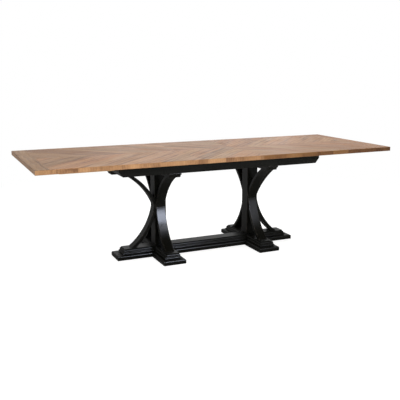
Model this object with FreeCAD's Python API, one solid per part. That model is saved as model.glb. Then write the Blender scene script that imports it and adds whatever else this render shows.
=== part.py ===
import FreeCAD, Part
import os
from math import acos, atan2, ceil, cos, hypot, pi, radians, sin, sqrt, tan

# Extending dining table. Two pedestals and the stretcher between them carry a fixed frame. The two
# halves of the top draw apart over it on geared wooden slides, and a loose leaf drops in between.
# X runs along the table, Y across it and Z up; the origin is on the floor under the table's middle.
# The table stands extended, with its leaf in place. Lengths are in millimetres, angles in degrees.

# The table as a whole
table_height = 762.0
table_width = 961.0
half_top_length = 1109.0
leaf_length = 457.0
top_thickness = 30.5
pedestal_spacing = 763.0
over_travel = 30.0

# Planks of the top
plank_width = 95.0
plank_angle = 45.0
end_board_width = 90.0
first_joint_share = 0.25

# Plinth: the broad lower boards of the base
glide_height = 3.0
glide_radius = 12.5
glide_inset = 40.0
plinth_width = 166.0
plinth_thickness = 31.5
plinth_round = 9.0
plinth_reach_out = 342.0
plinth_reach_across = 327.0

# Moulded boards on the plinth, from their foot up: quirk, torus, fillet, cove, neck, ovolo, cap
tier_reach = 295.0
tier_width = 123.0
quirk_height = 2.0
torus_radius = 5.5
fillet_height = 2.5
fillet_width = 1.0
cove_radius = 3.0
neck_height = 8.0
ovolo_radius = 6.0
cap_ledge = 1.5
cap_height = 7.0

# Columns and their curved brackets
column_side = 87.0
tenon_side = 44.0
tenon_length = 18.0
waist_share = 0.524
bracket_width = 71.0
bracket_thickness = 23.0
lower_tip_proud = 4.0
upper_tip_proud = 3.0
lower_tip_length = 2.0
upper_tip_length = 18.0
lower_lean = 10.5
upper_lean = 23.0
foot_reach = 227.0
head_reach = 290.0

# Bearers on the columns
bearer_thickness = 30.5
bearer_cove = 20.0
outer_bearer_lap = 15.0

# Fixed frame
frame_width = 690.0
frame_length = 1563.0
frame_height = 75.3
frame_play = 1.0
side_rail_thickness = 22.0
end_rail_thickness = 35.0
end_bevel_run = 30.0
end_bevel_rise = 37.5
cross_rail_thickness = 27.0
corner_block_leg = 55.0
corner_block_height = 50.0

# Bolts that hold the frame to the bearers
bolt_radius = 4.0
bolt_play = 0.5
bolt_head_across = 13.0
bolt_head_height = 5.0
bolt_depth = 22.0
inner_bolt_offset = 75.0
outer_bolt_inset = 40.0

# Slides: two fixed tracks, each with a runner of either half at its sides
runner_clearance = 27.5
track_width = 32.0
track_play = 2.0
groove_rise = 10.0
groove_height = 12.4
groove_depth = 10.0
runner_width = 30.0
runner_play = 0.5
runner_lift = 5.5
tongue_height = 12.0
tongue_length = 9.5
runner_past_middle = 60.0
runner_past_frame = 365.0
notch_play = 2.0

# Racks let into the runners, and the pinions between them
gear_module = 3.0
pinion_teeth = 14
pressure_angle = 20.0
addendum = 2.4
dedendum = 3.0
tooth_play = 0.15
rack_height = 10.0
rack_drop = 5.0
rack_back = 6.0
rack_margin = 16.0
pinion_lift = 0.3
pinion_play = 0.05
pinion_pin_radius = 4.0
pinion_pin_rise = 1.0
pinion_pin_seat = 24.0
pocket_play = 2.0
flank_shares = (0.0, 0.35, 0.7, 1.0)

# Cleats and battens under the top, and the pins that the leaf drops over
cleat_width = 60.0
cleat_thickness = 22.0
cleat_inset = 145.0
batten_offset = 110.0
batten_width = 50.0
batten_thickness = 20.0
batten_clearance = 13.5
leaf_pin_radius = 5.0
leaf_pin_seat = 30.0
leaf_pin_reach = 14.0
leaf_pin_play = 0.3
leaf_slot_play = 1.0
leaf_pin_inset = 118.0

# How far a cutting shape runs past what it cuts
overrun = 5.0

# Heights that follow from the sizes above
plinth_top = glide_height + plinth_thickness
tier_thickness = (quirk_height + 2 * torus_radius + fillet_height + cove_radius + neck_height
                  + ovolo_radius + cap_height)
tier_top = plinth_top + tier_thickness
top_underside = table_height - top_thickness
frame_top = top_underside - frame_play
frame_bottom = frame_top - frame_height
bearer_bottom = frame_bottom - bearer_thickness
waist_height = tier_top + waist_share * (bearer_bottom - tier_top)
cross_rail_top = frame_bottom + cross_rail_thickness
track_top = top_underside - track_play
groove_bottom = cross_rail_top + groove_rise
runner_bottom = cross_rail_top + runner_lift
rack_top = top_underside - rack_drop
rack_bottom = rack_top - rack_height
pin_height = top_underside + top_thickness / 2

# Places along and across the table
leaf_edge = leaf_length / 2
top_end = leaf_edge + half_top_length
frame_end = frame_length / 2
pedestal_x = pedestal_spacing / 2
column_half = column_side / 2
rail_inside = frame_width / 2 - side_rail_thickness
end_rail_inside = frame_end - end_rail_thickness
outer_bearer_reach = end_rail_inside + outer_bearer_lap - pedestal_x
runner_face = track_width / 2 + runner_play
runner_reach = runner_face + runner_width
track_offset = rail_inside - corner_block_leg - runner_clearance - runner_reach
batten_reach = track_offset - runner_reach - batten_clearance
runner_outer_end = frame_end + runner_past_frame
tooth_pitch = pi * gear_module
pitch_radius = gear_module * pinion_teeth / 2
tip_radius = pitch_radius + addendum
rack_back_face = pitch_radius + dedendum + rack_back

Vector = FreeCAD.Vector
UP = Vector(0, 0, 1)
SIDES = (("left", -1), ("right", 1))
TRACKS = (("front", -1), ("back", 1))


def block(x0, x1, y0, y1, z0, z1):
    """A box between two corners."""
    return Part.makeBox(x1 - x0, y1 - y0, z1 - z0, Vector(x0, y0, z0))


def arc_to(u, v, radius, first, last):
    """The end of an arc about (u, v) from one angle to another, with the point halfway along it."""
    half = radians((first + last) / 2)
    end = radians(last)
    return (u + radius * cos(end), v + radius * sin(end), (u + radius * cos(half), v + radius * sin(half)))


def both_sides(right):
    """Closes a half outline, given upward on the right, with its mirror image on the left."""
    left = []
    for k in reversed(range(len(right))):
        u, v = right[k][:2]
        bent = k + 1 < len(right) and len(right[k + 1]) > 2
        left.append((-u, v, (-right[k + 1][2][0], right[k + 1][2][1])) if bent else (-u, v))
    return right + left


def extrude(path, along, start, end):
    """A solid on an outline. A point with a third entry is reached by an arc through that entry."""
    def place(u, v):
        return {"X": Vector(start, u, v), "Y": Vector(u, start, v), "Z": Vector(u, v, start)}[along]
    edges = []
    for before, point in zip(path[-1:] + path[:-1], path):
        a, b = place(*before[:2]), place(*point[:2])
        if len(point) > 2:
            edges.append(Part.Arc(a, place(*point[2]), b).toShape())
        elif a.distanceToPoint(b) > 0:
            edges.append(Part.LineSegment(a, b).toShape())
    run = end - start
    way = {"X": Vector(run, 0, 0), "Y": Vector(0, run, 0), "Z": Vector(0, 0, run)}[along]
    return Part.Face(Part.Wire(edges)).extrude(way)


def moved(shape, x, y, z):
    """A copy of a shape, moved."""
    copy = shape.copy()
    copy.translate(Vector(x, y, z))
    return copy


def flipped(shape, across):
    """The mirror image of a shape across the plane X = 0 or Y = 0."""
    return shape.mirror(Vector(0, 0, 0), Vector(1, 0, 0) if across == "X" else Vector(0, 1, 0))


def on_side(shape, sign):
    """A shape made for the right of the table, or its mirror image for the left."""
    return shape if sign > 0 else flipped(shape, "X")


def cylinder(radius, height, x, y, z, axis=UP):
    """A round bar that starts at a point."""
    return Part.makeCylinder(radius, height, Vector(x, y, z), axis)


# Base

def plinth_path(half):
    """Section of a plinth board, with rounded upper edges."""
    shoulder = plinth_top - plinth_round
    return both_sides([(half, glide_height), (half, shoulder),
                       arc_to(half - plinth_round, shoulder, plinth_round, 0, 90)])


def tier_path(half):
    """Section of a moulded board: quirk, torus, fillet, cove, neck, ovolo and cap."""
    torus_u = half - torus_radius
    torus_v = plinth_top + quirk_height + torus_radius
    fillet_u = torus_u + fillet_width
    cove_v = torus_v + torus_radius + fillet_height
    neck_u = fillet_u - cove_radius
    ovolo_v = cove_v + cove_radius + neck_height
    cap_u = neck_u - ovolo_radius - cap_ledge
    return both_sides([
        (torus_u, plinth_top),
        (torus_u, plinth_top + quirk_height),
        arc_to(torus_u, torus_v, torus_radius, -90, 90),
        (fillet_u, torus_v + torus_radius),
        (fillet_u, cove_v),
        arc_to(fillet_u, cove_v + cove_radius, cove_radius, 270, 180),
        (neck_u, ovolo_v),
        arc_to(neck_u - ovolo_radius, ovolo_v, ovolo_radius, 0, 90),
        (cap_u, ovolo_v + ovolo_radius),
        (cap_u, tier_top)])


def cross_board(section, width, reach):
    """A board across the table, with its moulding carried round both ends."""
    return extrude(section(width / 2), "Y", -reach, reach).common(extrude(section(reach), "X", -width, width))


def outer_board(section, width, reach, crossing):
    """A board from a cross board to the outer end, scribed over the cross board's moulding."""
    board = extrude(section(width / 2), "X", 0, reach).common(extrude(section(reach), "Y", -width, width))
    return board.cut(crossing)


def stretcher_board(section, width, crossing):
    """A board between the pedestals, scribed over both cross boards."""
    board = extrude(section(width / 2), "X", -pedestal_x, pedestal_x)
    for _, sign in SIDES:
        board = board.cut(moved(crossing, sign * pedestal_x, 0, 0))
    return board


def base_boards(parts):
    """Plinth boards and the moulded boards on them."""
    half = tenon_side / 2
    socket = block(-half, half, -half, half, tier_top - tenon_length, tier_top + overrun)
    for name, section, width, reach, reach_out in (
            ("plinth", plinth_path, plinth_width, plinth_reach_across, plinth_reach_out),
            ("moulded", tier_path, tier_width, tier_reach, tier_reach)):
        crossing = cross_board(section, width, reach)
        outer = outer_board(section, width, reach_out, crossing)
        parts[f"{name}_stretcher_board"] = stretcher_board(section, width, crossing)
        crossing = crossing.cut(socket)
        for side, sign in SIDES:
            parts[f"{side}_{name}_cross_board"] = moved(crossing, sign * pedestal_x, 0, 0)
            parts[f"{side}_{name}_outer_board"] = moved(on_side(outer, sign), sign * pedestal_x, 0, 0)


def glides(parts):
    """Discs under the ends of the plinth boards and under the stretcher's middle."""
    across = plinth_reach_across - glide_inset
    out = pedestal_x + plinth_reach_out - glide_inset
    places = [(0, 0)] + [(sign * out, 0) for _, sign in SIDES]
    places += [(sign * pedestal_x, turn * across) for _, sign in SIDES for _, turn in TRACKS]
    discs = [cylinder(glide_radius, glide_height, x, y, 0) for x, y in places]
    parts["floor_glides"] = Part.makeCompound(discs)


def column(parts):
    """Square columns, tenoned into the board below and the bearer above."""
    post = block(-column_half, column_half, -column_half, column_half, tier_top, bearer_bottom)
    half = tenon_side / 2
    tenon = block(-half, half, -half, half, tier_top - tenon_length, bearer_bottom + tenon_length)
    for side, sign in SIDES:
        parts[f"{side}_column"] = moved(post.fuse(tenon).removeSplitter(), sign * pedestal_x, 0, 0)


def bracket(proud, tip_length, lean, reach, seat, up):
    """A curved slat from the waist to its seat, in the plane X-Z, leaning away from the column.

    Its tip stands proud of the column. The outer face is an arc that leaves the tip at the lean
    angle and ends at the reach. The inner face runs beside it until it meets the column. up is 1
    for a slat above the waist, -1 below it.
    """
    tip_u = column_half + proud
    tip_v = tip_length
    seat_v = up * (seat - waist_height)
    chord = hypot(reach - tip_u, seat_v - tip_v)
    steepness = atan2(reach - tip_u, seat_v - tip_v)
    radius = chord / (2 * sin(steepness - radians(lean)))
    centre_u = tip_u + radius * cos(radians(lean))
    centre_v = tip_v - radius * sin(radians(lean))
    inner = radius + bracket_thickness

    def on_arc(size, v):
        return centre_u - sqrt(size ** 2 - (v - centre_v) ** 2)

    def between(size, v0, v1):
        v = (v0 + v1) / 2
        return (on_arc(size, v), v)

    inner_v = centre_v + sqrt(inner ** 2 - (centre_u - column_half) ** 2)
    seat_inner = on_arc(inner, seat_v)
    path = [(column_half, 0), (tip_u, 0), (tip_u, tip_v), (reach, seat_v, between(radius, tip_v, seat_v)),
            (seat_inner, seat_v), (column_half, inner_v, between(inner, seat_v, inner_v))]
    turned = [tuple(point[:1]) + (waist_height + up * point[1],)
              + tuple((mid[0], waist_height + up * mid[1]) for mid in point[2:]) for point in path]
    return extrude(turned, "Y", -bracket_width / 2, bracket_width / 2)


def brackets(parts):
    """Three slats below the waist and three above it on each column: front, back and outer."""
    lower = bracket(lower_tip_proud, lower_tip_length, lower_lean, foot_reach, tier_top, -1)
    upper = bracket(upper_tip_proud, upper_tip_length, upper_lean, head_reach, bearer_bottom, 1)
    for side, sign in SIDES:
        for level, slat in (("lower", lower), ("upper", upper)):
            for place, angle in (("front", -90), ("back", 90), ("outer", 90 - sign * 90)):
                turned = slat.copy()
                turned.rotate(Vector(0, 0, 0), UP, angle)
                parts[f"{side}_{place}_{level}_bracket"] = moved(turned, sign * pedestal_x, 0, 0)


# Frame

def bolt_places():
    """Places of the bolts through the two outer cross rails."""
    outer = rail_inside - outer_bolt_inset
    return [(sign * pedestal_x, turn * y) for _, sign in SIDES for _, turn in TRACKS
            for y in (inner_bolt_offset, outer)]


def bolt_holes(radius):
    """Cutting bars for the bolts."""
    bottom = cross_rail_top - cross_rail_thickness - bolt_depth
    rise = cross_rail_top - bottom
    return Part.makeCompound([cylinder(radius, rise, x, y, bottom) for x, y in bolt_places()])


def bolts(parts):
    """Hexagon bolts, down through the cross rails into the bearers."""
    corner = bolt_head_across / sqrt(3)
    hexagon = [(corner * cos(k * pi / 3), corner * sin(k * pi / 3)) for k in range(6)]
    head = extrude(hexagon, "Z", cross_rail_top, cross_rail_top + bolt_head_height)
    length = cross_rail_thickness + bolt_depth
    bolt = head.fuse(cylinder(bolt_radius, length, 0, 0, cross_rail_top - length))
    parts["bearer_bolts"] = Part.makeCompound([moved(bolt, x, y, 0) for x, y in bolt_places()])


def bearers(parts):
    """A beam across each column's top and a shorter one outward, with coved ends."""
    def coved(end):
        return [(end - bearer_cove, bearer_bottom),
                arc_to(end, bearer_bottom, bearer_cove, 180, 90), (end, frame_bottom)]
    half = tenon_side / 2
    socket = block(-half, half, -half, half, bearer_bottom - overrun, bearer_bottom + tenon_length)
    beam = extrude(both_sides(coved(frame_width / 2)), "X", -column_half, column_half).cut(socket)
    arm = extrude([(column_half, bearer_bottom)] + coved(outer_bearer_reach) + [(column_half, frame_bottom)],
                  "Y", -column_half, column_half)
    holes = bolt_holes(bolt_radius)
    for side, sign in SIDES:
        parts[f"{side}_cross_bearer"] = moved(beam, sign * pedestal_x, 0, 0).cut(holes)
        parts[f"{side}_outer_bearer"] = moved(on_side(arm, sign), sign * pedestal_x, 0, 0)


def side_rails(parts):
    """Long rails of the frame, cut back below at both ends."""
    outline = both_sides([(frame_end - end_bevel_run, frame_bottom),
                          (frame_end, frame_bottom + end_bevel_rise), (frame_end, frame_top)])
    rail = extrude(outline, "Y", rail_inside, frame_width / 2)
    parts["back_side_rail"] = rail
    parts["front_side_rail"] = flipped(rail, "Y")


def end_rails(parts):
    """Rails across the frame's ends, bevelled like the side rails and notched for the runners."""
    rail = extrude([(end_rail_inside, frame_bottom), (frame_end - end_bevel_run, frame_bottom),
                    (frame_end, frame_bottom + end_bevel_rise), (frame_end, frame_top),
                    (end_rail_inside, frame_top)], "Y", -rail_inside, rail_inside)
    half = runner_reach + notch_play
    for _, turn in TRACKS:
        middle = turn * track_offset
        rail = rail.cut(block(end_rail_inside - overrun, frame_end + overrun, middle - half, middle + half,
                              runner_bottom - notch_play, frame_top + overrun))
    for side, sign in SIDES:
        parts[f"{side}_end_rail"] = on_side(rail, sign)


def cross_rails(parts):
    """Flat rails between the side rails: one on each bearer and one in the middle."""
    rail = block(-column_half, column_half, -rail_inside, rail_inside, frame_bottom, cross_rail_top)
    holes = bolt_holes(bolt_radius + bolt_play)
    parts["middle_cross_rail"] = rail
    for side, sign in SIDES:
        parts[f"{side}_cross_rail"] = moved(rail, sign * pedestal_x, 0, 0).cut(holes)


def corner_blocks(parts):
    """Glued blocks in the frame's corners."""
    x, y = end_rail_inside, rail_inside
    middle = (frame_bottom + frame_top) / 2
    wedge = extrude([(x, y), (x - corner_block_leg, y), (x, y - corner_block_leg)], "Z",
                    middle - corner_block_height / 2, middle + corner_block_height / 2)
    pair = [wedge, flipped(wedge, "Y")]
    parts["corner_blocks"] = Part.makeCompound(pair + [flipped(one, "X") for one in pair])


# Slides

def tracks(parts):
    """Fixed tracks, grooved on both sides, with a pocket for the pinion."""
    face, deep = track_width / 2, track_width / 2 - groove_depth
    high = groove_bottom + groove_height
    section = both_sides([(face, cross_rail_top), (face, groove_bottom), (deep, groove_bottom),
                          (deep, high), (face, high), (face, track_top)])
    track = extrude(section, "X", -end_rail_inside, end_rail_inside)
    pocket = tip_radius + pocket_play
    floor = rack_bottom - pinion_lift
    track = track.cut(block(-pocket, pocket, -track_width, track_width, floor, track_top + overrun))
    track = track.cut(cylinder(pinion_pin_radius, pinion_pin_seat, 0, 0, floor - pinion_pin_seat))
    for place, turn in TRACKS:
        parts[f"{place}_fixed_track"] = moved(track, 0, turn * track_offset, 0)


def teeth_for(length):
    """The number of rack teeth that reach over a length from the middle tooth."""
    return ceil((length + rack_margin) / tooth_pitch)


def on_runner(shape, sign, turn):
    """Puts a slide piece, made for the right half and the far side of a track, in its place.

    The left half's runners lie outside the tracks and the right half's inside them.
    """
    outward = turn if sign < 0 else -turn
    shape = on_side(shape, sign)
    if outward < 0:
        shape = flipped(shape, "Y")
    return moved(shape, 0, turn * track_offset, 0)


def runner():
    """A moving runner with the tongue that rides in the track's groove and a rebate for the rack."""
    face, back = runner_face, runner_reach
    section = [(face, runner_bottom), (face, groove_bottom), (face - tongue_length, groove_bottom),
               (face - tongue_length, groove_bottom + tongue_height), (face, groove_bottom + tongue_height),
               (face, top_underside), (back, top_underside), (back, runner_bottom)]
    bar = extrude(section, "X", -runner_past_middle, runner_outer_end)
    rebate_end = (teeth_for(leaf_edge) + 1 / 2) * tooth_pitch
    return bar.cut(block(-runner_past_middle - overrun, rebate_end, face - overrun, rack_back_face,
                         rack_bottom, rack_top))


def rack():
    """A straight rack whose teeth face the pinion, with a tooth at the table's middle."""
    flank = tan(radians(pressure_angle))
    half = tooth_pitch / 4 - tooth_play
    tip, root = half - addendum * flank, half + dedendum * flank
    tip_v, root_v = pitch_radius - addendum, pitch_radius + dedendum
    first, last = -teeth_for(over_travel), teeth_for(leaf_edge)
    path = [((first - 1 / 2) * tooth_pitch, root_v)]
    for k in range(first, last + 1):
        middle = k * tooth_pitch
        path += [(middle - root, root_v), (middle - tip, tip_v),
                 (middle + tip, tip_v), (middle + root, root_v)]
    end = (last + 1 / 2) * tooth_pitch
    path += [(end, root_v), (end, rack_back_face), ((first - 1 / 2) * tooth_pitch, rack_back_face)]
    return extrude(path, "Z", rack_bottom, rack_top)


def involute(angle):
    """The involute function of an angle in radians."""
    return tan(angle) - angle


def pinion():
    """A spur pinion with involute teeth. A gap faces each rack."""
    pressure = radians(pressure_angle)
    base_radius = pitch_radius * cos(pressure)
    root_radius = pitch_radius - dedendum
    half_tooth = pi / (2 * pinion_teeth) - tooth_play / pitch_radius

    def spread(radius):
        return half_tooth + involute(pressure) - involute(acos(base_radius / radius))

    def polar(radius, angle):
        return Vector(radius * cos(angle), radius * sin(angle), 0)

    radii = [base_radius + share * (tip_radius - base_radius) for share in flank_shares]
    step = 2 * pi / pinion_teeth
    edges = []
    for k in range(pinion_teeth):
        middle = pi / 2 + (k + 1 / 2) * step
        rising = [polar(radius, middle - spread(radius)) for radius in radii]
        falling = [polar(radius, middle + spread(radius)) for radius in reversed(radii)]
        foot = spread(base_radius)
        low, high = polar(root_radius, middle - foot), polar(root_radius, middle + foot)
        up_curve, down_curve = Part.BSplineCurve(), Part.BSplineCurve()
        up_curve.interpolate(rising)
        down_curve.interpolate(falling)
        edges += [Part.LineSegment(low, rising[0]).toShape(), up_curve.toShape(),
                  Part.Arc(rising[-1], polar(tip_radius, middle), falling[0]).toShape(),
                  down_curve.toShape(), Part.LineSegment(falling[-1], high).toShape(),
                  Part.Arc(high, polar(root_radius, middle + step / 2),
                           polar(root_radius, middle + step - foot)).toShape()]
    wheel = Part.Face(Part.Wire(edges)).extrude(Vector(0, 0, rack_height))
    return wheel.cut(cylinder(pinion_pin_radius + pinion_play, rack_height, 0, 0, 0))


def gears(parts):
    """A pinion on its pin in each track."""
    wheel = pinion()
    pin = cylinder(pinion_pin_radius, pinion_pin_seat + pinion_lift + rack_height + pinion_pin_rise,
                   0, 0, rack_bottom - pinion_lift - pinion_pin_seat)
    for place, turn in TRACKS:
        parts[f"{place}_pinion"] = moved(wheel, 0, turn * track_offset, rack_bottom)
    parts["pinion_pins"] = Part.makeCompound([moved(pin, 0, turn * track_offset, 0) for _, turn in TRACKS])


# Top

def chevron(x0, x1, apex):
    """Planks that meet at the table's centre line, trimmed to the length x0 to x1.

    apex is 1 where the planks point along +X at the centre line, and -1 where they point along -X.
    """
    half_width = table_width / 2
    run = half_width / tan(radians(plank_angle))
    pitch = plank_width / sin(radians(plank_angle))
    region = block(x0, x1, -half_width, half_width, top_underside, table_height)
    before, beyond = (0, run) if apex > 0 else (run, 0)
    planks = []
    for k in range(-ceil(before / pitch), ceil((x1 - x0 + beyond) / pitch) + 1):
        near = x0 + (k - first_joint_share) * pitch
        far = near + pitch
        for edge in (-half_width, half_width):
            outline = [(near, 0), (far, 0), (far - apex * run, edge), (near - apex * run, edge)]
            planks += extrude(outline, "Z", top_underside, table_height).common(region).Solids
    return planks


def leaf_pin_places():
    """Places across the table of the pins that the leaf drops over."""
    outer = table_width / 2 - leaf_pin_inset
    return (-outer, 0, outer)


def half_top(parts):
    """Each half: planks, end board, cleat, runners, racks and the leaf's pins."""
    inner_end = top_end - end_board_width
    start = leaf_edge - leaf_pin_reach
    pins = [cylinder(leaf_pin_radius, leaf_pin_reach + leaf_pin_seat, start, y, pin_height, Vector(1, 0, 0))
            for y in leaf_pin_places()]
    planks = [plank.cut(Part.makeCompound(pins)) for plank in chevron(leaf_edge, inner_end, -1)]
    board = block(inner_end, top_end, -table_width / 2, table_width / 2, top_underside, table_height)
    cleat_end = runner_outer_end + cleat_width
    cleat = block(runner_outer_end, cleat_end, -table_width / 2 + cleat_inset, table_width / 2 - cleat_inset,
                  top_underside - cleat_thickness, top_underside)
    bar, toothed = runner(), rack()
    for side, sign in SIDES:
        parts[f"{side}_top_planks"] = on_side(Part.makeCompound(planks), sign)
        parts[f"{side}_end_board"] = on_side(board, sign)
        parts[f"{side}_end_cleat"] = on_side(cleat, sign)
        parts[f"{side}_leaf_pins"] = on_side(Part.makeCompound(pins), sign)
        for place, turn in TRACKS:
            parts[f"{side}_{place}_runner"] = on_runner(bar, sign, turn)
        parts[f"{side}_racks"] = Part.makeCompound([on_runner(toothed, sign, turn) for _, turn in TRACKS])


def leaf(parts):
    """The loose leaf, with slots that are open below for the pins, and two battens."""
    depth = leaf_pin_reach + leaf_slot_play
    radius = leaf_pin_radius + leaf_pin_play
    slots = []
    for y in leaf_pin_places():
        for _, sign in SIDES:
            x0, x1 = sorted((sign * (leaf_edge + overrun), sign * (leaf_edge - depth)))
            slots.append(cylinder(radius, x1 - x0, x0, y, pin_height, Vector(1, 0, 0)))
            slots.append(block(x0, x1, y - radius, y + radius, top_underside - overrun, pin_height))
    planks = [plank.cut(Part.makeCompound(slots)) for plank in chevron(-leaf_edge, leaf_edge, 1)]
    parts["leaf_planks"] = Part.makeCompound(planks)
    batten = block(batten_offset - batten_width / 2, batten_offset + batten_width / 2,
                   -batten_reach, batten_reach, top_underside - batten_thickness, top_underside)
    parts["leaf_battens"] = Part.makeCompound([batten, flipped(batten, "X")])


def table():
    """All the pieces, by name."""
    parts = {}
    for make in (base_boards, glides, column, brackets, bearers, bolts, side_rails, end_rails,
                 cross_rails, corner_blocks, tracks, gears, half_top, leaf):
        make(parts)
    return parts


os.makedirs("parts", exist_ok=True)
for node, shape in table().items():
    shape.exportStep(f"parts/{node}.step")
    print(node, len(shape.Solids), "solids", round(shape.Volume / 1000), "cm3")
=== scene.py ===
import random
from math import atan2, ceil, cos, hypot, radians, sin, sqrt

import bmesh
import bpy
from mathutils import Matrix, Vector


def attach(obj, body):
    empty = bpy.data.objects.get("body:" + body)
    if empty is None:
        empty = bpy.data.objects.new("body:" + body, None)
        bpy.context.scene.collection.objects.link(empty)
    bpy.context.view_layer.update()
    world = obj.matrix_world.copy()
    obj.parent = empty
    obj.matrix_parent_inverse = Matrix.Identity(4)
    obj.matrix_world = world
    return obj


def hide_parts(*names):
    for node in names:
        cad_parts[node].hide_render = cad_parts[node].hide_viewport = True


# Looks of an extending dining table: a chevron top of brown planks on a base painted black.
# Lengths are in metres in the table's own frame: X along it, Y to its back and Z up from the floor.

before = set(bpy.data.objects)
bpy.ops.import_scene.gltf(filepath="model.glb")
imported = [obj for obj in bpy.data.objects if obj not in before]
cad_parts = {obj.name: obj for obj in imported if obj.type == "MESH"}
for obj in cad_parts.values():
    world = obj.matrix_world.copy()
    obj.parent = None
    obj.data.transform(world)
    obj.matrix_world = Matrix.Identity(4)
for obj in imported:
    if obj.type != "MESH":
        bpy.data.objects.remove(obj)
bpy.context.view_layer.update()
chance = random.Random(7)
painted = bpy.data.collections.new("painted")

SIDES = (("left", -1), ("right", 1))
TURNS = (("front", -1), ("back", 1))
X, Y, Z = (Vector(axis).freeze() for axis in ((1, 0, 0), (0, 1, 0), (0, 0, 1)))

# Sizes of the top, and of the slots in its leaf
TOP_HEIGHT, TOP_THICKNESS, TOP_WIDTH, TOP_LENGTH = 0.762, 0.0305, 0.961, 2.675
LEAF_LENGTH, END_BOARD, PLANK_WIDTH, FIRST_JOINT_SHARE = 0.457, 0.090, 0.095, 0.25
SLOT_DEPTH, SLOT_RADIUS, SLOT_INSET, SLOT_OVERRUN = 0.015, 0.0053, 0.118, 0.005

# Sizes of the frame under the top, and of the bearers that carry it
FRAME_PLAY, FRAME_HEIGHT, FRAME_HALF, FRAME_END = 0.001, 0.0753, 0.345, 0.7815
RAIL_THICKNESS, BEVEL_RUN, BEVEL_RISE = 0.022, 0.030, 0.0375
BEARER_THICKNESS, BEARER_COVE, BEARER_REACH = 0.0305, 0.020, 0.380
FRAME_TOP = TOP_HEIGHT - TOP_THICKNESS - FRAME_PLAY
FRAME_BOTTOM = FRAME_TOP - FRAME_HEIGHT
COLUMN_TOP = FRAME_BOTTOM - BEARER_THICKNESS

# Sizes of the plinth boards, and of the moulded boards on them
PLINTH_FOOT, PLINTH_THICKNESS, PLINTH_ROUND = 0.003, 0.0315, 0.009
PLINTH_HALF, PLINTH_OUT, PLINTH_ACROSS = 0.083, 0.342, 0.327
TIER_HALF, TIER_REACH = 0.0615, 0.295
QUIRK, TORUS, FILLET, FILLET_WIDTH, COVE = 0.002, 0.0055, 0.0025, 0.001, 0.003
NECK, OVOLO, CAP, CAP_LEDGE = 0.008, 0.006, 0.007, 0.0015
PLINTH_TOP = PLINTH_FOOT + PLINTH_THICKNESS
TIER_TOP = PLINTH_TOP + QUIRK + 2 * TORUS + FILLET + COVE + NECK + OVOLO + CAP

# Sizes of the columns and their curved brackets. A bracket's four are how far its tip stands out from
# the column, the length of the tip, its lean there in degrees and its reach from the column's middle.
PEDESTAL_X, COLUMN_HALF, WAIST_SHARE = 0.3815, 0.0435, 0.524
BRACKET_HALF, BRACKET_THICKNESS = 0.0355, 0.023
LOWER_BRACKET, UPPER_BRACKET = (0.004, 0.002, 10.5, 0.227), (0.003, 0.018, 23, 0.290)
WAIST = TIER_TOP + WAIST_SHARE * (COLUMN_TOP - TIER_TOP)

# Widths of the softened edges, and half the width of the open joints between planks. ease() cuts a
# width where two edges would run into each other, so that the brackets' front edges get 3 or 4 mm.
ARRIS, POST_ROUND, BRACKET_EASE, BRACKET_ROUND = 0.0012, 0.002, 0.0015, 0.0045
FOOT_EASE, CAP_EASE, PLANK_EASE, RIM_EASE, SEAM_EASE = 0.0008, 0.001, 0.0005, 0.002, 0.0014
JOINT = 0.00015

# Angles in degrees: an edge is shaded as a crease above the first and softened above the second, and
# faces whose slopes differ by less than the third become one
CREASE_ANGLE, SOFTEN_ANGLE, FLAT_ANGLE = 38, 35, 1

# Distances that count as none
SAME, NEAR = 1e-6, 1e-5

# The beta spread that says how dark each plank is, and how dark the end boards are, from 0 to 1
LEVEL_SPREAD, BOARD_LEVEL = (1.6, 3.4), 0.35

# The tone of painted wood, and how far the grain of each solid is moved at random
PLAIN, GRAIN_SHIFT = 0.5, 9

# How bright the surroundings are where they only light the table, and the floor's half size
DIMMED, FLOOR_HALF = 0.81, 30

# Distances from the middle where the floor starts to turn white and where it is white, and how much it
# glows nearer by, as the camera sees it and in mirroring surfaces
WHITENS_FROM, WHITE_AT, GLOW, MIRRORED_GLOW = 1.5, 3.4, 0.76, 0.10


# Node trees

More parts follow.
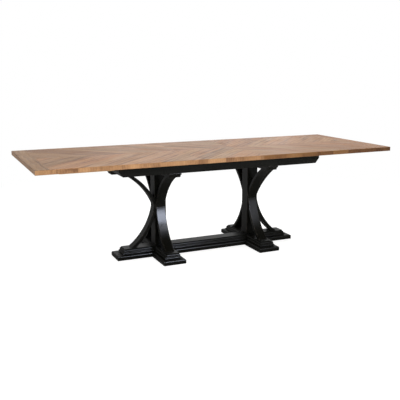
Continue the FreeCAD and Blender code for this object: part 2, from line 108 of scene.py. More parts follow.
class Shader:
    """The node tree of a new material or world, with short ways to add to it."""

    def __init__(self, owner):
        owner.use_nodes = True
        self.owner, self.tree = owner, owner.node_tree
        self.tree.nodes.clear()

    def node(self, kind, settings=(), **inputs):
        """Adds a node. An input is a value or another node's output, named or by number (_0, _1)."""
        made = self.tree.nodes.new("ShaderNode" + kind)
        for key, value in dict(settings).items():
            setattr(made, key, value)
        for key, value in inputs.items():
            self.feed(made.inputs[int(key[1:]) if key[0] == "_" else key.replace("_", " ")], value)
        return made

    def feed(self, socket, value):
        """Links or sets one input."""
        if isinstance(value, bpy.types.NodeSocket):
            self.tree.links.new(value, socket)
        else:
            socket.default_value = value

    def attribute(self, name, output="Fac"):
        """A mesh attribute."""
        return self.node("Attribute", {"attribute_name": name}).outputs[output]

    def place(self):
        """Coordinates of the piece itself."""
        return self.node("TexCoord").outputs["Object"]

    def scaled(self, where, *scale, turn=0):
        """Coordinates scaled by axis, after a turn about Z in degrees."""
        return self.node("Mapping", Vector=where, Rotation=(0, 0, radians(turn)), Scale=scale).outputs[0]

    def stretch(self, where, along, across):
        """Coordinates whose first axis runs along the grain, scaled apart from the other two."""
        return self.scaled(where, along, across, across)

    def noise(self, where, scale=1.0, detail=3.0, roughness=0.5, distortion=0.0):
        """Noise between 0 and 1."""
        return self.node("TexNoise", Vector=where, Scale=scale, Detail=detail, Roughness=roughness,
                         Distortion=distortion).outputs["Fac"]

    def maths(self, operation, *values):
        """One sum on values or outputs."""
        return self.node("Math", {"operation": operation},
                         **{f"_{k}": value for k, value in enumerate(values)}).outputs[0]

    def blend(self, *parts):
        """The sum of outputs, each given with its weight."""
        first, *others = (self.maths("MULTIPLY", value, weight) for value, weight in parts)
        for other in others:
            first = self.maths("ADD", first, other)
        return first

    def spread(self, value, low, high, new_low=0.0, new_high=1.0):
        """Carries a range over to another, and stops at its ends."""
        return self.node("MapRange", _0=value, _1=low, _2=high, _3=new_low, _4=new_high).outputs[0]

    def mix(self, share, a, b, blend="MIX"):
        """Two colours mixed."""
        return self.node("Mix", {"data_type": "RGBA", "blend_type": blend}, _0=share, _6=a, _7=b).outputs[2]

    def ramp(self, value, *stops):
        """Colours along a value."""
        made = self.node("ValToRGB", Fac=value)
        elements = made.color_ramp.elements
        while len(elements) < len(stops):
            elements.new(1.0)
        for element, (place, colour) in zip(elements, stops):
            element.position, element.color = place, colour
        return made.outputs["Color"]

    def rays(self):
        """Whether a ray comes from the camera, from a mirroring or clear surface, or from either."""
        path = self.node("LightPath").outputs
        camera = path["Is Camera Ray"]
        mirror = self.maths("MAXIMUM", path["Is Glossy Ray"], path["Is Transmission Ray"])
        return camera, mirror, self.maths("MAXIMUM", mirror, camera)

    def close(self, colour, roughness, height, distance, **own):
        """Ends the tree in a principled surface with a bump."""
        bump = self.node("Bump", Height=height, Distance=distance, Strength=1.0)
        surface = self.node("BsdfPrincipled", Base_Color=colour, Roughness=roughness,
                            Normal=bump.outputs[0], **own)
        self.node("OutputMaterial", Surface=surface.outputs[0])
        return self.owner


def new_material(name):
    """An empty tree for a material."""
    return Shader(bpy.data.materials.new(name))


def rgb(red, green, blue):
    """A colour for a node, from screen values of 0 to 255."""
    linear = [((c / 255 + 0.055) / 1.055) ** 2.4 if c > 10 else c / 3294 for c in (red, green, blue)]
    return (*linear, 1.0)


# Materials

def figured_wood(name, light, middle, dark, contrast):
    """Oiled planks: figure, growth bands and pores along the grain, and a tone for each plank."""
    s = new_material(name)
    grain, tone, level = s.attribute("grain", "Vector"), s.attribute("tone"), s.attribute("level")
    drift = s.noise(s.stretch(grain, 1.8, 16.0), detail=4.0, roughness=0.55, distortion=0.35)
    figure = s.noise(s.stretch(grain, 3.0, 60.0), detail=5.0, roughness=0.62, distortion=0.5)
    fibre = s.noise(s.stretch(grain, 14.0, 700.0), detail=3.0, roughness=0.6)
    bands = s.node("TexWave", {"bands_direction": "Y", "wave_profile": "SAW"},
                   Vector=s.stretch(grain, 0.5, 1.0), Scale=9.0, Distortion=4.0, Detail=3.0,
                   Detail_Scale=1.6, Detail_Roughness=0.55).outputs["Fac"]
    pores = s.spread(s.noise(s.stretch(grain, 45.0, 1400.0), detail=1.0), 0.63, 0.74)
    streak = s.blend((drift, 0.55), (figure, 0.45), (s.maths("SUBTRACT", bands, 0.5), 0.2))
    streak = s.spread(streak, 0.5 - contrast, 0.5 + contrast)
    colour = s.ramp(streak, (0.0, dark), (0.42, middle), (1.0, light))
    colour = s.mix(s.spread(fibre, 0.25, 0.75, 0.0, 0.32), colour, dark)
    warm = s.mix(tone, (1.07, 0.97, 0.90, 1.0), (0.94, 1.01, 1.03, 1.0))
    colour = s.mix(1.0, colour, warm, "MULTIPLY")
    colour = s.mix(level, colour, s.mix(1.0, colour, (0.58, 0.52, 0.47, 1.0), "MULTIPLY"))
    colour = s.mix(s.maths("MULTIPLY", pores, 0.45), colour, (0.05, 0.03, 0.02, 1.0))
    wear = s.noise(s.stretch(grain, 6.0, 9.0), detail=3.0)
    roughness = s.maths("ADD", s.spread(wear, 0.3, 0.7, 0.46, 0.58), s.maths("MULTIPLY", pores, 0.15))
    height = s.maths("SUBTRACT", s.maths("MULTIPLY", fibre, 0.5), pores)
    return s.close(colour, roughness, height, 0.00016, Specular_IOR_Level=0.24)


def cut_wood(name, light, middle, dark):
    """Sawn ends of planks at the rim, with rings that run through the thickness."""
    s = new_material(name)
    grain, tone, level = s.attribute("grain", "Vector"), s.attribute("tone"), s.attribute("level")
    place = s.place()
    rings = s.node("TexWave", {"bands_direction": "Y"}, Vector=grain, Scale=26.0, Distortion=5.0,
                   Detail=2.0, Detail_Scale=1.3).outputs["Fac"]
    broad = s.noise(place, scale=16.0, detail=3.0, distortion=0.4)
    fine = s.noise(s.scaled(place, 500.0, 500.0, 140.0), detail=2.0)
    value = s.maths("ADD", s.blend((rings, 0.12), (broad, 0.88)), s.spread(tone, 0.0, 1.0, -0.22, 0.22))
    colour = s.ramp(s.spread(value, 0.2, 0.8), (0.0, dark), (0.5, middle), (1.0, light))
    colour = s.mix(s.spread(fine, 0.45, 0.75, 0.0, 0.25), colour, dark)
    colour = s.mix(level, colour, s.mix(1.0, colour, (0.42, 0.36, 0.33, 1.0), "MULTIPLY"))
    return s.close(colour, s.spread(fine, 0.2, 0.8, 0.5, 0.68), fine, 0.0002, Specular_IOR_Level=0.3)


def painted_wood(name):
    """Black satin paint over wood: the grain shows through a little, and the arrises are lighter in patches,
    partly as rubbed paint and partly as a painted highlight.
    """
    s = new_material(name)
    grain, rim = s.attribute("grain", "Vector"), s.attribute("rim")
    fibre = s.noise(s.stretch(grain, 9.0, 260.0), detail=4.0, roughness=0.6, distortion=0.5)
    peel = s.noise(grain, scale=900.0, detail=1.0)
    cloud = s.noise(s.stretch(grain, 3.0, 12.0), detail=3.0, distortion=0.3)
    scuff = s.noise(s.stretch(grain, 30.0, 190.0), detail=4.0, roughness=0.7)
    # Lighter arrises in patches: partly rubbed paint, partly a painted highlight along the edges
    rubbed_and_highlit = s.maths("MULTIPLY", rim, s.spread(scuff, 0.5, 0.68, 0.0, 0.55))
    colour = s.mix(s.spread(cloud, 0.3, 0.7), rgb(7, 7, 5), rgb(11, 11, 9))
    colour = s.mix(rubbed_and_highlit, colour, rgb(74, 66, 60))
    facing = s.node("LayerWeight", Blend=0.5).outputs["Facing"]
    roughness = s.maths("ADD", s.spread(cloud, 0.3, 0.7, 0.16, 0.21), s.spread(fibre, 0.3, 0.7, -0.02, 0.03))
    roughness = s.maths("ADD", roughness, s.maths("MULTIPLY", rubbed_and_highlit, 0.25))
    roughness = s.maths("ADD", roughness, s.spread(facing, 0.25, 0.75, 0.0, 0.38))
    return s.close(colour, roughness, s.blend((fibre, 0.8), (peel, 0.12)), 0.00009, Specular_IOR_Level=0.06)


def plain_wood(name, turn):
    """Waxed hardwood of the hidden pieces, with its grain along X, or along Y when turned."""
    s = new_material(name)
    place = s.scaled(s.place(), 1, 1, 1, turn=turn)
    drift = s.noise(s.stretch(place, 3.0, 26.0), detail=4.0, distortion=0.8)
    fibre = s.noise(s.stretch(place, 16.0, 620.0), detail=3.0)
    colour = s.ramp(s.spread(drift, 0.25, 0.75), (0.0, rgb(172, 132, 88)), (1.0, rgb(214, 178, 128)))
    colour = s.mix(s.spread(fibre, 0.4, 0.8, 0.0, 0.5), colour, rgb(140, 102, 64))
    return s.close(colour, s.spread(drift, 0.3, 0.7, 0.4, 0.52), fibre, 0.00012, Specular_IOR_Level=0.4)


def zinced_steel(name):
    """Zinc-plated bolts and pins, with faint spangle and turning marks."""
    s = new_material(name)
    place = s.place()
    spangle = s.node("TexVoronoi", Vector=place, Scale=420.0).outputs["Distance"]
    marks = s.noise(s.scaled(place, 90.0, 90.0, 2600.0), detail=2.0)
    colour = s.ramp(spangle, (0.0, rgb(182, 184, 186)), (1.0, rgb(204, 204, 202)))
    return s.close(colour, s.spread(marks, 0.3, 0.7, 0.24, 0.4), marks, 0.00003, Metallic=1.0)


def moulded_nylon(name):
    """Off-white nylon of the racks, pinions and glides."""
    s = new_material(name)
    place = s.place()
    haze, skin = s.noise(place, scale=30.0), s.noise(place, scale=1500.0, detail=1.0)
    colour = s.ramp(haze, (0.3, rgb(205, 200, 188)), (0.7, rgb(222, 218, 206)))
    return s.close(colour, s.spread(haze, 0.3, 0.7, 0.38, 0.5), skin, 0.00004, Specular_IOR_Level=0.45)


TOP_WOOD = figured_wood("top_wood", rgb(165, 128, 93), rgb(141, 105, 73), rgb(98, 66, 43), 0.18)
PALE_RIM = cut_wood("pale_rim_wood", rgb(170, 131, 93), rgb(149, 112, 78), rgb(108, 76, 52))
DARK_RIM = cut_wood("dark_rim_wood", rgb(138, 101, 63), rgb(121, 83, 48), rgb(86, 54, 30))
PAINT = painted_wood("black_paint")
WOOD_X, WOOD_Y = plain_wood("plain_wood_lengthwise", 0), plain_wood("plain_wood_crosswise", 90)
STEEL, NYLON = zinced_steel("zinced_steel"), moulded_nylon("moulded_nylon")


# Mesh code

def arc(u, v, radius, first, last, steps):
    """Points of an arc about (u, v), angles in degrees."""
    return [(u + radius * cos(radians(first + (last - first) * k / steps)),
             v + radius * sin(radians(first + (last - first) * k / steps))) for k in range(steps + 1)]


def both_sides(right):
    """A half outline, given upward on the right, closed with its mirror image."""
    return right + [(-u, v) for u, v in reversed(right)]


def prism(outline, along, start, end):
    """A solid on an outline. along is the axis that it runs along."""
    place = {X: lambda u, v: (start, u, v), Y: lambda u, v: (u, start, v),
             Z: lambda u, v: (u, v, start)}[along]
    bm = bmesh.new()
    face = bm.faces.new([bm.verts.new(place(u, v)) for u, v in outline])
    grown = bmesh.ops.extrude_face_region(bm, geom=[face])["geom"]
    moved = [g for g in grown if isinstance(g, bmesh.types.BMVert)]
    bmesh.ops.translate(bm, vec=along * (end - start), verts=moved)
    bmesh.ops.recalc_face_normals(bm, faces=bm.faces)
    return bm


def ease(bm, width, segments=2, only=None, angle=30):
    """Rounds the sharp edges, or those of them that only() picks, and marks the new faces as rim.

    All get the same width, which is less where two of them would otherwise run into each other.
    """
    rim = bm.faces.layers.float.get("rim") or bm.faces.layers.float.new("rim")
    edges = [e for e in bm.edges if len(e.link_faces) == 2 and e.calc_face_angle(0) > radians(angle)
             and (only is None or only(e))]
    made = bmesh.ops.bevel(bm, geom=edges, offset=width, offset_type="OFFSET", segments=segments, profile=0.5,
                           affect="EDGES", clamp_overlap=True)
    for face in made["faces"]:
        face[rim] = 1.0
    return bm


def ringed(rings):
    """A solid through rings of points, closed at both ends."""
    bm = bmesh.new()
    rows = [[bm.verts.new(p) for p in ring] for ring in rings]
    for low, high in zip(rows, rows[1:]):
        for k in range(len(low)):
            m = (k + 1) % len(low)
            bm.faces.new([low[k], low[m], high[m], high[k]])
    bm.faces.new(list(reversed(rows[0])))
    bm.faces.new(rows[-1])
    bmesh.ops.recalc_face_normals(bm, faces=bm.faces)
    return bm


def shifted(bm, matrix):
    """Moves, turns or mirrors a solid."""
    bmesh.ops.transform(bm, matrix=matrix, verts=bm.verts)
    if matrix.determinant() < 0:
        bmesh.ops.reverse_faces(bm, faces=bm.faces)
    return bm


def mirrored(sign):
    """A matrix that mirrors left and right when sign is -1."""
    return Matrix.Diagonal((sign, 1, 1, 1))


def at_pedestal(bm, sign, turn):
    """Carries a solid from the table's middle to a pedestal, after a turn or a mirroring."""
    return shifted(bm, Matrix.Translation((sign * PEDESTAL_X, 0, 0)) @ turn)


def extent(e, axis):
    """How far apart an edge's ends are along an axis, 0 to 2 for X to Z."""
    return abs(e.verts[0].co[axis] - e.verts[1].co[axis])


def piece(name, solids, body, nodes, materials, rim_faces=None):
    """One object from solids, each given with its grain's direction, its tone and how dark it is.

    rim_faces picks the faces that take the second material.
    """
    points, faces, picks, grains, tones, levels, rims = [], [], [], [], [], [], []
    for bm, along, tone, level in solids:
        first = len(points)
        along = along.normalized()
        across = along.cross(X if abs(along.z) > 0.9 else Z).normalized()
        third = along.cross(across)
        shift = Vector([chance.uniform(-GRAIN_SHIFT, GRAIN_SHIFT) for _ in range(3)])
        bm.verts.index_update()
        rim = bm.faces.layers.float.get("rim")
        for v in bm.verts:
            points.append(v.co[:])
            grains.extend(Vector((v.co.dot(along), v.co.dot(across), v.co.dot(third))) + shift)
            tones.append(tone)
            levels.append(level)
        for f in bm.faces:
            faces.append([first + v.index for v in f.verts])
            rims.append(f[rim] if rim else 0.0)
            picks.append(1 if rim_faces and rim_faces(f) else 0)
        bm.free()
    mesh = bpy.data.meshes.new(name)
    mesh.from_pydata(points, [], faces)
    for material in materials:
        mesh.materials.append(material)
    mesh.polygons.foreach_set("material_index", picks)
    mesh.polygons.foreach_set("use_smooth", [True] * len(faces))
    for label, kind, domain, key, values in (
            ("grain", "FLOAT_VECTOR", "POINT", "vector", grains), ("tone", "FLOAT", "POINT", "value", tones),
            ("level", "FLOAT", "POINT", "value", levels), ("rim", "FLOAT", "FACE", "value", rims)):
        mesh.attributes.new(label, kind, domain).data.foreach_set(key, values)
    mesh.update()
    mesh.set_sharp_from_angle(angle=radians(CREASE_ANGLE))
    made = bpy.data.objects.new(name, mesh)
    bpy.context.scene.collection.objects.link(made)
    made.modifiers.new("shading", "WEIGHTED_NORMAL").keep_sharp = True
    if PAINT in materials:
        painted.objects.link(made)
    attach(made, body)
    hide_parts(*nodes)
    return made


def painted_piece(name, bm, along, node):
    """A painted piece of the base. along is the direction of its grain."""
    piece(name, [(bm, along, PLAIN, 0)], "base", [node], [PAINT])


# Base

def board(profile, sides, ends):
    """A board with a moulded profile, which runs round an end marked 1.

    An end marked -1 is scribed over a neighbour. profile is a list of (inset, height), sides is
    (y0, y1) and ends is ((x0, way), (x1, way)).
    """
    (x0, way0), (x1, way1) = ends
    rings = []
    for inset, height in profile:
        a, b = x0 + way0 * inset, x1 - way1 * inset
        c, d = sides[0] + inset, sides[1] - inset
        rings.append([(a, c, height), (b, c, height), (b, d, height), (a, d, height)])
    return ringed(rings)


def plinth_profile():
    """Plinth boards: a rounded upper edge."""
    centre = PLINTH_TOP - PLINTH_ROUND
    return ([(FOOT_EASE, PLINTH_FOOT), (0.0, PLINTH_FOOT + FOOT_EASE)]
            + [(PLINTH_ROUND - u, centre + v) for u, v in arc(0, 0, PLINTH_ROUND, 0, 90, 8)])


def tier_profile():
    """Moulded boards: quirk, torus, fillet, cove, neck, ovolo and cap."""
    torus_middle, torus_top = PLINTH_TOP + QUIRK + TORUS, PLINTH_TOP + QUIRK + 2 * TORUS
    cove_foot = torus_top + FILLET
    ovolo_foot = cove_foot + COVE + NECK
    fillet_inset = TORUS - FILLET_WIDTH
    ovolo_inset = fillet_inset + COVE + OVOLO
    cap_inset = ovolo_inset + CAP_LEDGE
    torus = [(TORUS - u, torus_middle + v) for u, v in arc(0, 0, TORUS, -90, 90, 12)]
    cove = [(fillet_inset - u, cove_foot + COVE + v) for u, v in arc(0, 0, COVE, 270, 180, 6)]
    ovolo = [(ovolo_inset - u, ovolo_foot + v) for u, v in arc(0, 0, OVOLO, 0, 90, 8)]
    cap = [(cap_inset + u * CAP_EASE, TIER_TOP - v * CAP_EASE) for u, v in ((0, 0.8), (0.3, 0.3), (1, 0))]
    return ([(TORUS, PLINTH_TOP)] + torus + [(fillet_inset, torus_top)] + cove + ovolo
            + [(cap_inset, ovolo_foot + OVOLO)] + cap)


def base_boards():
    """Plinth boards and the moulded boards on them, mitred and scribed where they meet."""
    for kind, profile, half, out, across in (
            ("plinth", plinth_profile(), PLINTH_HALF, PLINTH_OUT, PLINTH_ACROSS),
            ("moulded", tier_profile(), TIER_HALF, TIER_REACH, TIER_REACH)):
        inner = PEDESTAL_X - half
        middle = board(profile, (-half, half), ((-inner, -1), (inner, -1)))
        painted_piece(f"{kind}_stretcher", middle, X, f"{kind}_stretcher_board")
        for side, sign in SIDES:
            cross = board(profile, (-across, across), ((-half, 1), (half, 1)))
            outer = board(profile, (-half, half), ((half, -1), (out, 1)))
            painted_piece(f"{side}_{kind}_cross", at_pedestal(cross, sign, mirrored(sign)), Y,
                          f"{side}_{kind}_cross_board")
            painted_piece(f"{side}_{kind}_outer", at_pedestal(outer, sign, mirrored(sign)), X,
                          f"{side}_{kind}_outer_board")


def columns():
    """Square columns with rounded arrises."""
    h = COLUMN_HALF
    for side, sign in SIDES:
        post = prism([(-h, -h), (h, -h), (h, h), (-h, h)], Z, TIER_TOP, COLUMN_TOP)
        ease(post, POST_ROUND, 3, only=lambda e: extent(e, 2) > SAME)
        painted_piece(f"{side}_post", at_pedestal(post, sign, Matrix()), Z, f"{side}_column")


def slat(shape, seat, up):
    """A curved bracket in the plane X-Z, from the waist to its seat; up is 1 above the waist, -1 below."""
    proud, tip_v, lean, reach = shape
    tip_u, seat_v = COLUMN_HALF + proud, up * (seat - WAIST)
    steepness = atan2(reach - tip_u, seat_v - tip_v)
    radius = hypot(reach - tip_u, seat_v - tip_v) / (2 * sin(steepness - radians(lean)))
    centre_u, centre_v = tip_u + radius * cos(radians(lean)), tip_v - radius * sin(radians(lean))
    inner = radius + BRACKET_THICKNESS

    def curve(size, v0, v1, steps):
        """Points of one of the two arcs, from one height to another."""
        heights = [v0 + (v1 - v0) * k / steps for k in range(steps + 1)]
        return [(centre_u - sqrt(size ** 2 - (v - centre_v) ** 2), v) for v in heights]

    def on_front(vert):
        """Whether a corner lies on the tip's face or on the outer arc."""
        u, v = vert.co.x, up * (vert.co.z - WAIST)
        return abs(u - tip_u) < SAME or abs(hypot(u - centre_u, v - centre_v) - radius) < SAME

    inner_v = centre_v + sqrt(inner ** 2 - (centre_u - COLUMN_HALF) ** 2)
    path = ([(COLUMN_HALF, 0), (tip_u, 0)] + curve(radius, tip_v, seat_v, 22)
            + curve(inner, seat_v, inner_v, 20))
    bm = prism([(u, WAIST + up * v) for u, v in path], Y, -BRACKET_HALF, BRACKET_HALF)
    ease(bm, BRACKET_ROUND, 4, only=lambda e: extent(e, 1) < SAME and all(on_front(v) for v in e.verts))
    return ease(bm, BRACKET_EASE)


def brackets():
    """The slats below and above the waist of both columns."""
    for side, sign in SIDES:
        for row, shape, seat, up in (("lower", LOWER_BRACKET, TIER_TOP, -1),
                                     ("upper", UPPER_BRACKET, COLUMN_TOP, 1)):
            for place, angle in (("front", -90), ("back", 90), ("outer", 90 - sign * 90)):
                made = at_pedestal(slat(shape, seat, up), sign, Matrix.Rotation(radians(angle), 4, "Z"))
                painted_piece(f"{side}_{place}_{row}_slat", made, Z, f"{side}_{place}_{row}_bracket")


def bearers_and_rails():
    """Coved bearers on the columns and the frame's long rails."""
    def coved(end):
        """The outline of a bearer's end, from the cove upward."""
        return arc(end, COLUMN_TOP, BEARER_COVE, 180, 90, 8) + [(end, FRAME_BOTTOM)]
    h = COLUMN_HALF
    for side, sign in SIDES:
        beam = ease(prism(both_sides(coved(FRAME_HALF)), X, -h, h), ARRIS)
        arm = ease(prism([(h, COLUMN_TOP)] + coved(BEARER_REACH) + [(h, FRAME_BOTTOM)], Y, -h, h), ARRIS)
        painted_piece(f"{side}_bearer_beam", at_pedestal(beam, sign, mirrored(sign)), Y,
                      f"{side}_cross_bearer")
        painted_piece(f"{side}_bearer_arm", at_pedestal(arm, sign, mirrored(sign)), X,
                      f"{side}_outer_bearer")
    outline = both_sides([(FRAME_END - BEVEL_RUN, FRAME_BOTTOM), (FRAME_END, FRAME_BOTTOM + BEVEL_RISE),
                          (FRAME_END, FRAME_TOP)])
    for place, turn in TURNS:
        a, b = sorted((turn * FRAME_HALF, turn * (FRAME_HALF - RAIL_THICKNESS)))
        painted_piece(f"{place}_rail", ease(prism(outline, Y, a, b), ARRIS), X, f"{place}_side_rail")


# Top

def cut_to(outline, low, high):
    """A convex outline cut to the rectangle between two corners."""
    for axis, limit, keep in ((0, low[0], 1), (0, high[0], -1), (1, low[1], 1), (1, high[1], -1)):
        kept = []
        for a, b in zip(outline, outline[1:] + outline[:1]):
            inside_a, inside_b = keep * (a[axis] - limit) >= 0, keep * (b[axis] - limit) >= 0
            if inside_a:
                kept.append(a)
            if inside_a != inside_b:
                t = (limit - a[axis]) / (b[axis] - a[axis])
                kept.append(tuple(a[k] + t * (b[k] - a[k]) for k in (0, 1)))
        outline = [p for k, p in enumerate(kept)
                   if hypot(p[0] - kept[k - 1][0], p[1] - kept[k - 1][1]) > SAME]
    return outline


def on_rim(point):
    """Whether a point lies on the table's outer edge."""
    return abs(point.x) > TOP_LENGTH / 2 - NEAR or abs(point.y) > TOP_WIDTH / 2 - NEAR


def on_seam(point):
    """Whether a point lies where the leaf meets a half."""
    return abs(abs(point.x) - LEAF_LENGTH / 2) < NEAR


def plank(outline):
    """A plank with eased edges, rounder at the table's rim and at the leaf's seams."""
    bm = prism(outline, Z, TOP_HEIGHT - TOP_THICKNESS, TOP_HEIGHT)

    def flat(e):
        """Whether an edge is level."""
        return extent(e, 2) < SAME

    def along(e, where):
        """Whether where() holds for a level edge at both ends and in its middle."""
        a, b = (v.co for v in e.verts)
        return flat(e) and where(a) and where(b) and where((a + b) / 2)
    ease(bm, SEAM_EASE, 2, only=lambda e: along(e, on_seam))
    ease(bm, RIM_EASE, 3, only=lambda e: along(e, on_rim))
    return ease(bm, PLANK_EASE, 1, only=flat, angle=60)


def chevron(x0, x1, apex):
    """Planks that meet at the centre line, each with its grain, its tone and how dark it is.

    apex is the way they point. They lie at 45 degrees, so each runs as far along X as across.
    """
    half = run = TOP_WIDTH / 2
    pitch = PLANK_WIDTH / sin(radians(45))
    before, beyond = (0, run) if apex > 0 else (run, 0)
    planks = []
    for k in range(-ceil(before / pitch), ceil((x1 - x0 + beyond) / pitch) + 1):
        near = x0 + (k - FIRST_JOINT_SHARE) * pitch + JOINT
        far = near + pitch - 2 * JOINT
        for way in (-1, 1):
            outline = [(near, way * JOINT), (far, way * JOINT), (far - apex * run, way * half),
                       (near - apex * run, way * half)]
            outline = cut_to(outline, (x0, -half), (x1, half))
            if len(outline) > 2:
                tone, level = chance.random(), chance.betavariate(*LEVEL_SPREAD)
                planks.append((plank(outline), Vector((-apex, way, 0)), tone, level))
    return planks


def seen_from_side(face):
    """Whether a face of a plank is sawn across, at the rim or at the leaf's seams."""
    middle = face.calc_center_median()
    return abs(face.normal.z) < 0.5 and (on_rim(middle) or on_seam(middle))


def cut_slots(leaf):
    """Slots under the leaf's edges, open below, that drop over the halves' pins."""
    middle, foot = TOP_HEIGHT - TOP_THICKNESS / 2, TOP_HEIGHT - TOP_THICKNESS - SLOT_OVERRUN
    seam, r = LEAF_LENGTH / 2, SLOT_RADIUS
    mesh = bpy.data.meshes.new("slots")
    joined = bmesh.new()
    for y in (SLOT_INSET - TOP_WIDTH / 2, 0, TOP_WIDTH / 2 - SLOT_INSET):
        outline = [(y - r, foot)] + arc(y, middle, r, 180, 0, 12) + [(y + r, foot)]
        for _, sign in SIDES:
            x0, x1 = sorted((sign * (seam + SLOT_OVERRUN), sign * (seam - SLOT_DEPTH)))
            bm = prism(outline, X, x0, x1)
            bm.to_mesh(mesh)
            joined.from_mesh(mesh)
            bm.free()
    joined.to_mesh(mesh)
    joined.free()
    cutter = bpy.data.objects.new("slots", mesh)
    bpy.context.scene.collection.objects.link(cutter)
    cut = leaf.modifiers.new("slots", "BOOLEAN")
    cut.object, cut.operation, cut.solver = cutter, "DIFFERENCE", "EXACT"
    bpy.context.view_layer.update()
    leaf.modifiers.move(1, 0)
    baked = bpy.data.meshes.new_from_object(leaf.evaluated_get(bpy.context.evaluated_depsgraph_get()))
    leaf.modifiers.clear()
    leaf.data = baked
    bpy.data.objects.remove(cutter)


def end_board(sign):
    """The board across one end of the top."""
    x0, x1 = sorted((sign * (TOP_LENGTH / 2 - END_BOARD + JOINT), sign * TOP_LENGTH / 2))
    half = TOP_WIDTH / 2
    return plank([(x0, -half), (x1, -half), (x1, half), (x0, half)])


def top():
    """The halves' planks and end boards, and the leaf."""
    seam, inner = LEAF_LENGTH / 2, TOP_LENGTH / 2 - END_BOARD
    for side, sign in SIDES:
        planks = chevron(seam, inner, -1)
        if sign < 0:
            planks = [(shifted(bm, mirrored(sign)), Vector((-g.x, g.y, 0)), tone, level)
                      for bm, g, tone, level in planks]
        woods = [TOP_WOOD, PALE_RIM if side == "left" else DARK_RIM]
        piece(f"{side}_planks", planks, f"{side}_half", [f"{side}_top_planks"], woods,
              seen_from_side)
        piece(f"{side}_board", [(end_board(sign), Y, chance.random(), BOARD_LEVEL)], f"{side}_half",
              [f"{side}_end_board"], woods, seen_from_side)
    leaf = piece("leaf_top", chevron(-seam, seam, 1), "leaf", ["leaf_planks"],
                 [TOP_WOOD, PALE_RIM], seen_from_side)
    cut_slots(leaf)


# Pieces whose solids are shown as they are, with softened edges

def soften(node, material, width):
    """Gives a CAD node its finish, and rounds its edges a little."""
    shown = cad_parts[node]
    shown.data.materials.clear()
    shown.data.materials.append(material)
    shown.modifiers.new("weld", "WELD").merge_threshold = NEAR
    flat = shown.modifiers.new("flat", "DECIMATE")
    flat.decimate_type, flat.angle_limit = "DISSOLVE", radians(FLAT_ANGLE)
    bevel = shown.modifiers.new("edges", "BEVEL")
    bevel.width, bevel.segments = width, 2
    bevel.limit_method, bevel.angle_limit = "ANGLE", radians(SOFTEN_ANGLE)
    shown.modifiers.new("shading", "WEIGHTED_NORMAL").keep_sharp = True
    if material == PAINT:
        painted.objects.link(shown)


def plain_pieces():
    """The end rails, the slides, the inner frame and the fastenings."""
    runners = [f"{side}_{place}_runner" for side, _ in SIDES for place, _ in TURNS]
    for material, width, nodes in (
            (PAINT, ARRIS, ["left_end_rail", "right_end_rail"]),
            (WOOD_X, 0.0006, ["front_fixed_track", "back_fixed_track", "left_leaf_pins", "right_leaf_pins"]),
            (WOOD_X, 0.0006, runners),
            (WOOD_Y, 0.001, ["middle_cross_rail", "left_cross_rail", "right_cross_rail", "corner_blocks"]),
            (WOOD_Y, 0.001, ["leaf_battens", "left_end_cleat", "right_end_cleat"]),
            (STEEL, 0.0003, ["bearer_bolts", "pinion_pins"]),
            (NYLON, 0.0002, ["left_racks", "right_racks", "front_pinion", "back_pinion", "floor_glides"])):
        for node in nodes:
            soften(node, material, width)


# Studio

def surroundings():
    """White surroundings, a little dimmer where they only light the table."""
    world = bpy.context.scene.world = bpy.data.worlds.new("surroundings")
    s = Shader(world)
    strength = s.spread(s.rays()[2], 0.0, 1.0, DIMMED, 1.0)
    shine = s.node("Background", Color=(1, 1, 1, 1), Strength=strength)
    s.node("OutputWorld", Surface=shine.outputs[0])


def studio_floor():
    """A pale floor that keeps the shadow near the table and turns white away from it."""
    s = new_material("floor")
    place = s.place()
    distance = s.node("VectorMath", {"operation": "LENGTH"}, _0=place).outputs["Value"]
    camera, mirror, seen = s.rays()
    away = s.maths("MULTIPLY", s.spread(distance, WHITENS_FROM, WHITE_AT), seen)
    near = s.blend((camera, GLOW), (mirror, MIRRORED_GLOW))
    pale = s.ramp(s.noise(place, scale=6.0), (0.0, rgb(176, 176, 175)), (1.0, rgb(181, 181, 180)))
    paper = s.node("BsdfPrincipled", Base_Color=pale, Roughness=0.8, Specular_IOR_Level=0.1,
                   Emission_Color=(1, 1, 1, 1), Emission_Strength=near)
    glow = s.node("Emission", Color=(1, 1, 1, 1), Strength=1.0)
    both = s.node("MixShader", _0=away, _1=paper.outputs[0], _2=glow.outputs[0])
    s.node("OutputMaterial", Surface=both.outputs[0])
    corners = [(u * FLOOR_HALF, v * FLOOR_HALF, 0) for u, v in ((-1, -1), (1, -1), (1, 1), (-1, 1))]
    mesh = bpy.data.meshes.new("floor")
    mesh.from_pydata(corners, [], [(0, 1, 2, 3)])
    mesh.materials.append(s.owner)
    floor = bpy.data.objects.new("floor", mesh)
    bpy.context.scene.collection.objects.link(floor)


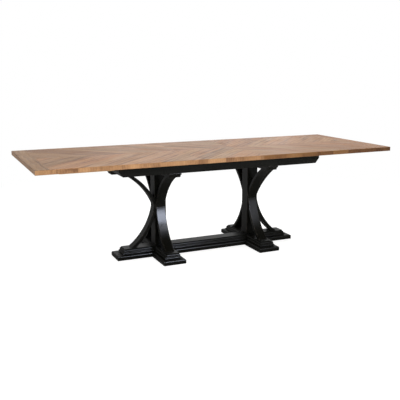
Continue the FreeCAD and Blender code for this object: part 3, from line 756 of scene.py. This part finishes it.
def lamp(name, place, target, size, power, colour=(1, 1, 1), diffuse=True, glossy=True, onto=None):
    """A soft rectangular light that faces a point, with or without its diffuse light and reflection.

    size is its width and height. onto is the collection of pieces that it shines on, where it leaves
    out the others.
    """
    data = bpy.data.lights.new(name, "AREA")
    data.shape, (data.size, data.size_y), data.energy, data.color = "RECTANGLE", size, power, colour
    made = bpy.data.objects.new(name, data)
    made.location = place
    made.rotation_euler = (Vector(target) - Vector(place)).to_track_quat("-Z", "Y").to_euler()
    made.visible_camera, made.visible_diffuse, made.visible_glossy = False, diffuse, glossy
    made.light_linking.receiver_collection = onto
    bpy.context.scene.collection.objects.link(made)


def lamps():
    """Two lamps light the table and one its frame. The others only show as sheen."""
    sheen = {"diffuse": False, "onto": painted}
    near_foot = (-0.37, -0.1, 0.30)
    lamp("key", (-0.70, -2.3, 1.05), (-0.45, -0.3, 0.60), (1.1, 0.9), 44, glossy=False)
    lamp("overhead", (0.6, 0.6, 3.2), (0.1, 0, 0.7), (3.0, 2.4), 57)
    lamp("softbox", (0.72, -2.9, 1.50), near_foot, (0.9, 1.05), 305, (0.77, 0.83, 1.0), **sheen)
    lamp("crown", (0.72, -2.9, 2.95), near_foot, (0.9, 1.8), 25, (0.8, 0.84, 1.0), **sheen)
    lamp("wide", (1.8, -3.0, 2.1), (0.3, -0.1, 0.2), (1.4, 2.6), 78, (0.86, 0.88, 1.0), **sheen)
    lamp("end", (0.65, -1.3, 0.85), (0.45, -0.345, 0.69), (1.2, 0.3), 19, glossy=False, onto=painted)
    lamp("strip", (1.36, -2.9, 2.45), (0.1, -0.1, 0.05), (0.7, 1.2), 55, (0.86, 0.88, 1.0), **sheen)
    lamp("behind", (1.25, 3.0, 0.75), (0.0, 0.0, 0.1), (2.6, 1.1), 22, diffuse=False)
    lamp("veil", (3.3, 3.2, 1.25), (1.2, 0.0, 0.76), (1.8, 0.6), 3, (0.9, 0.95, 1.0), diffuse=False)


def viewpoint():
    """The camera, at the photograph's viewing angle."""
    camera = bpy.data.objects.new("camera", bpy.data.cameras.new("camera"))
    camera.location = (-1.9511, -4.2007, 1.3769)
    camera.rotation_euler = (radians(77.735), 0, radians(-24.412))
    camera.data.lens, camera.data.sensor_width = 56.08, 36.0
    bpy.context.scene.collection.objects.link(camera)
    bpy.context.scene.camera = camera
    bpy.context.scene.view_settings.view_transform = "Standard"


base_boards()
columns()
brackets()
bearers_and_rails()
top()
plain_pieces()
surroundings()
studio_floor()
lamps()
viewpoint()
